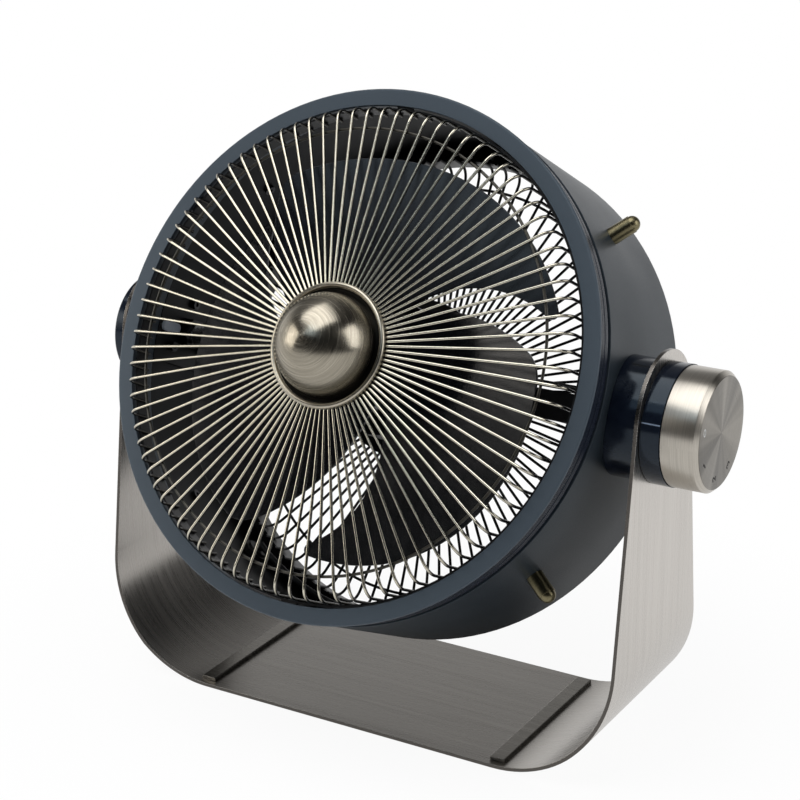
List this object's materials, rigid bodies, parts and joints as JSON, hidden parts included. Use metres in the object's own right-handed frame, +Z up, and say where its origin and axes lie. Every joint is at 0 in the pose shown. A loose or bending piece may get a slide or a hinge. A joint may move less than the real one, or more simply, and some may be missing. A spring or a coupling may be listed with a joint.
{
  "type": "floor fan",
  "caption": "Floor fan: a round drum head with wire grilles, wide blades and a knob on its pivot, tilting between the arms of a U-shaped steel stand.",
  "frame": {"origin": "on the floor, at the centre of the stand's rest face, midway between the arms", "axes": "+X to the side with the speed knob, -Y the way the fan blows, +Z up"},
  "size_m": [0.453, 0.2937, 0.4329],
  "materials": {
    "stand_steel": "brushed along the band",
    "bar_steel": "brushed along the bar",
    "pad_rubber": "matte",
    "pivot_plastic": "smooth",
    "drum_paint": "fine textured powder coat",
    "bezel_paint": "satin slate",
    "trim_paint": "dark satin with fine beads",
    "wire_nickel": "pale satin nickel",
    "collar_nickel": "satin nickel",
    "dome_nickel": "spun, with circular brushing",
    "black_steel": "black coat",
    "screw_steel": "plain",
    "motor_paint": "black coat",
    "core_steel": "dull",
    "copper": "enamelled wire",
    "bearing_steel": "plain",
    "pale_plastic": "matte",
    "capacitor_plastic": "matte",
    "gloss_navy": "deep gloss",
    "black_plastic": "matte",
    "peg_brass": "antique",
    "lead_sheath": "matte",
    "blade_smoke": "smoked gloss",
    "knob_nickel": "radially brushed face, polished chamfer"
  },
  "bodies": {
    "stand": {"stand_frame": "stand_steel", "base_pad": "pad_rubber", "base_bar_right": "bar_steel", "base_bar_left": "bar_steel", "base_bar_screws": "screw_steel", "arm_bush_right": "pivot_plastic", "arm_bush_left": "pivot_plastic"},
    "head": {"drum_shell": "drum_paint", "front_bezel": "bezel_paint", "trim_band": "trim_paint", "front_grille": "wire_nickel", "front_grille_ring": "wire_nickel", "front_grille_band": "black_steel", "front_grille_screws": "screw_steel", "grille_collar": "collar_nickel", "dome_cap": "dome_nickel", "grille_back_plate": "black_steel", "dome_screw": "screw_steel", "rear_grille": "black_steel", "rear_grille_ring": "black_steel", "rear_grille_band": "black_steel", "rear_grille_disc": "black_steel", "rear_grille_screws": "screw_steel", "motor_bracket": "motor_paint", "motor_front_shell": "motor_paint", "motor_rear_shell": "motor_paint", "stator_core": "core_steel", "stator_winding": "copper", "motor_bearings": "bearing_steel", "motor_bolts": "screw_steel", "capacitor": "capacitor_plastic", "boss_right": "gloss_navy", "boss_left": "gloss_navy", "boss_key_right": "pale_plastic", "boss_key_left": "pale_plastic", "boss_screws": "screw_steel", "trunnion_right": "bearing_steel", "trunnion_left": "bearing_steel", "trunnion_nuts": "screw_steel", "friction_washers": "pivot_plastic", "switch_collar": "gloss_navy", "collar_screws": "screw_steel", "rotary_switch": "black_plastic", "switch_nut": "screw_steel", "left_pivot_cap": "gloss_navy", "peg_right_upper": "peg_brass", "peg_right_lower": "peg_brass", "peg_left_upper": "peg_brass", "peg_left_lower": "peg_brass", "peg_screws": "screw_steel", "motor_lead": "lead_sheath", "supply_lead": "lead_sheath", "cord_gland": "black_plastic", "gland_nut": "black_plastic"},
    "rotor": {"fan_blade": "blade_smoke", "blade_nut": "screw_steel", "motor_shaft": "bearing_steel", "rotor_core": "core_steel"},
    "knob": {"knob": "knob_nickel", "switch_shaft": "pale_plastic"}
  },
  "joints": [
    {"name": "head_tilt", "type": "hinge", "parent": "stand", "child": "head", "pos_m": [0, 0, 0.241], "axis": [-1, 0, 0], "range_deg": [-117.1, 62.9]},
    {"name": "blade_spin", "type": "hinge", "parent": "head", "child": "rotor", "pos_m": [0, 0, 0.241], "axis": [0, 0.8902, -0.4555], "continuous": true},
    {"name": "knob_turn", "type": "hinge", "parent": "head", "child": "knob", "pos_m": [0.228, 0, 0.241], "axis": [-1, 0, 0], "range_deg": [0, 135]}
  ]
}
